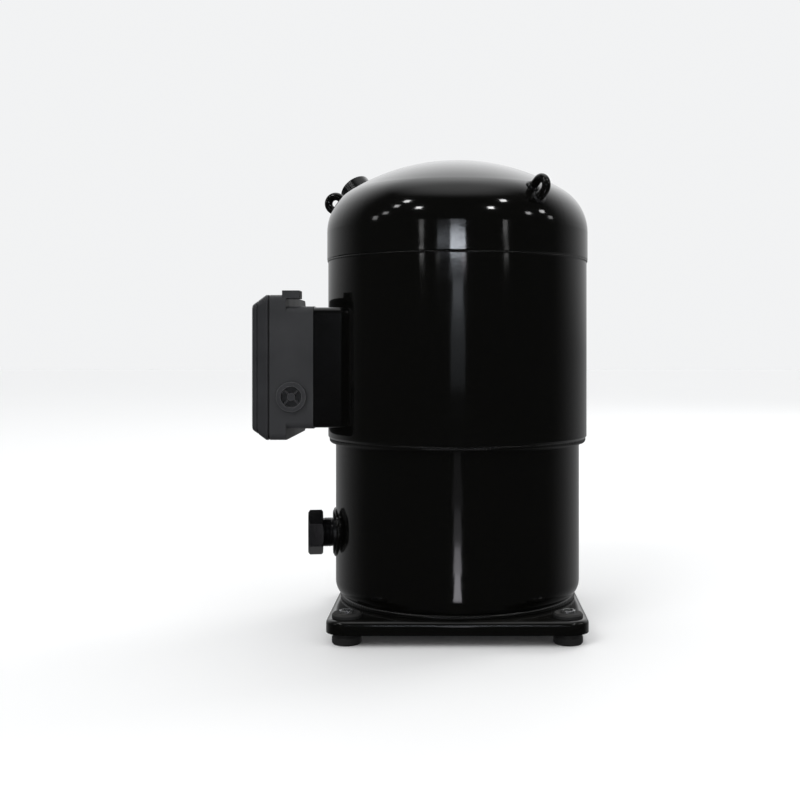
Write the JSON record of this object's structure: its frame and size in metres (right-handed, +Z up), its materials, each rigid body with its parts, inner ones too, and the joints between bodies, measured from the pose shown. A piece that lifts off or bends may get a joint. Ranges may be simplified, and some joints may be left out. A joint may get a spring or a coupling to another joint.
{
  "type": "hermetic scroll compressor",
  "caption": "Welded upright compressor with a domed shell, side terminal box and square base; an internal motor orbits one scroll inside another.",
  "frame": {"origin": "centre of the mounting hole pattern, on the surface that the rubber mounts stand on", "axes": "+Z up along the crankshaft, -X towards the terminal box, +Y towards the suction fitting"},
  "size_m": [0.3091, 0.278, 0.4294],
  "materials": {
    "black_enamel": "gloss black baked enamel",
    "saddle_enamel": "satin black paint",
    "mount_rubber": "moulded black rubber",
    "plated_steel": "zinc plated",
    "box_plastic": "fine-textured dark grey moulding",
    "cover_plastic": "fine-textured dark grey moulding",
    "gasket_foam": "closed-cell gasket",
    "plug_plastic": "smooth grey moulding",
    "fitting_enamel": "gloss black over machined steel",
    "sight_glass": "clear",
    "ptfe": "white sealing ring",
    "terminal_steel": "plated",
    "terminal_glass": "fused glass",
    "pin_steel": "plated pin",
    "phenolic": "dark moulded phenolic",
    "brass": "turned",
    "pressed_steel": "pressed sheet",
    "cast_iron": "machined casting",
    "valve_steel": "ground",
    "oldham_aluminium": "die cast",
    "shaft_steel": "ground",
    "bearing_bronze": "plain bearing lining",
    "counterweight_iron": "cast",
    "laminations": "stacked sheets",
    "cage_aluminium": "cast",
    "winding_copper": "enamelled wire",
    "lead_insulation": "sleeved wire",
    "ferrite": "sintered",
    "bolt_steel": "black oxide"
  },
  "bodies": {
    "shell": {"base_plate": "black_enamel", "mounting_grommets": "mount_rubber", "mounting_sleeves": "plated_steel", "lower_shell": "black_enamel", "upper_shell": "black_enamel", "top_cap": "black_enamel", "lift_ring_left": "black_enamel", "lift_ring_front": "black_enamel", "discharge_fitting": "fitting_enamel", "suction_fitting": "fitting_enamel", "suction_baffle": "pressed_steel", "sight_glass_adaptor": "fitting_enamel", "sight_glass_gasket": "ptfe", "sight_glass_lens": "sight_glass", "sight_glass_nut": "fitting_enamel", "terminal_cup": "terminal_steel", "terminal_glass_beads": "terminal_glass", "terminal_pins": "pin_steel", "terminal_block": "phenolic", "terminal_nuts": "brass", "terminal_saddle": "saddle_enamel", "terminal_box": "box_plastic", "box_screws": "plated_steel", "ground_screw": "brass", "conduit_plug": "plug_plastic", "muffler_plate": "pressed_steel", "check_valve_cage": "pressed_steel", "fixed_scroll": "cast_iron", "main_frame": "cast_iron", "thrust_plate": "valve_steel", "main_bearing": "bearing_bronze", "scroll_bolts": "bolt_steel", "stator_core": "laminations", "stator_windings": "winding_copper", "motor_leads": "lead_insulation", "lower_bearing_bracket": "cast_iron", "lower_bearing": "bearing_bronze", "thrust_washer": "valve_steel", "sump_magnet": "ferrite"},
    "crank": {"crankshaft": "shaft_steel", "eccentric_bush": "shaft_steel", "upper_counterweight": "counterweight_iron", "rotor_core": "laminations", "rotor_cage": "cage_aluminium", "lower_counterweight": "counterweight_iron", "oil_pickup": "pressed_steel"},
    "orbiting_scroll": {"orbiting_scroll": "cast_iron", "drive_bearing": "bearing_bronze"},
    "oldham_ring": {"oldham_ring": "oldham_aluminium"},
    "oldham_keys": {"oldham_keys": "oldham_aluminium"},
    "check_valve": {"check_valve_disc": "valve_steel"},
    "floating_seal": {"floating_seal": "cast_iron"},
    "cover": {"terminal_cover": "cover_plastic", "cover_gasket": "gasket_foam"},
    "cover_screw": {"cover_screw": "plated_steel"}
  },
  "joints": [
    {"name": "crank_spin", "type": "hinge", "parent": "shell", "child": "crank", "pos_m": [0, 0, 0.145], "axis": [0, 0, 1], "continuous": true},
    {"name": "scroll_orbit", "type": "hinge", "parent": "crank", "child": "orbiting_scroll", "pos_m": [0.006, 0, 0.3], "axis": [0, 0, 1], "continuous": true},
    {"name": "oldham_ring_slide", "type": "hinge", "parent": "crank", "child": "oldham_ring", "pos_m": [0.003, 0, 0.294], "axis": [0, 0, 1], "continuous": true},
    {"name": "oldham_key_slide", "type": "hinge", "parent": "oldham_ring", "child": "oldham_keys", "pos_m": [0.006, 0, 0.294], "axis": [0, 0, 1], "continuous": true},
    {"name": "check_valve_lift", "type": "slide", "parent": "shell", "child": "check_valve", "axis": [0, 0, 1], "range_m": [0, 0.004]},
    {"name": "floating_seal_lift", "type": "slide", "parent": "shell", "child": "floating_seal", "axis": [0, 0, 1], "range_m": [0, 0.0008]},
    {"name": "cover_lift_off", "type": "slide", "parent": "shell", "child": "cover", "axis": [-1, 0, 0], "range_m": [0, 0.06]},
    {"name": "cover_screw_out", "type": "slide", "parent": "cover", "child": "cover_screw", "axis": [-1, 0, 0], "range_m": [0, 0.012]}
  ],
  "couplings": [
    {"joint": "scroll_orbit", "follows": "crank_spin", "ratio": -1},
    {"joint": "oldham_ring_slide", "follows": "crank_spin", "ratio": -2},
    {"joint": "oldham_key_slide", "follows": "crank_spin", "ratio": 1}
  ]
}
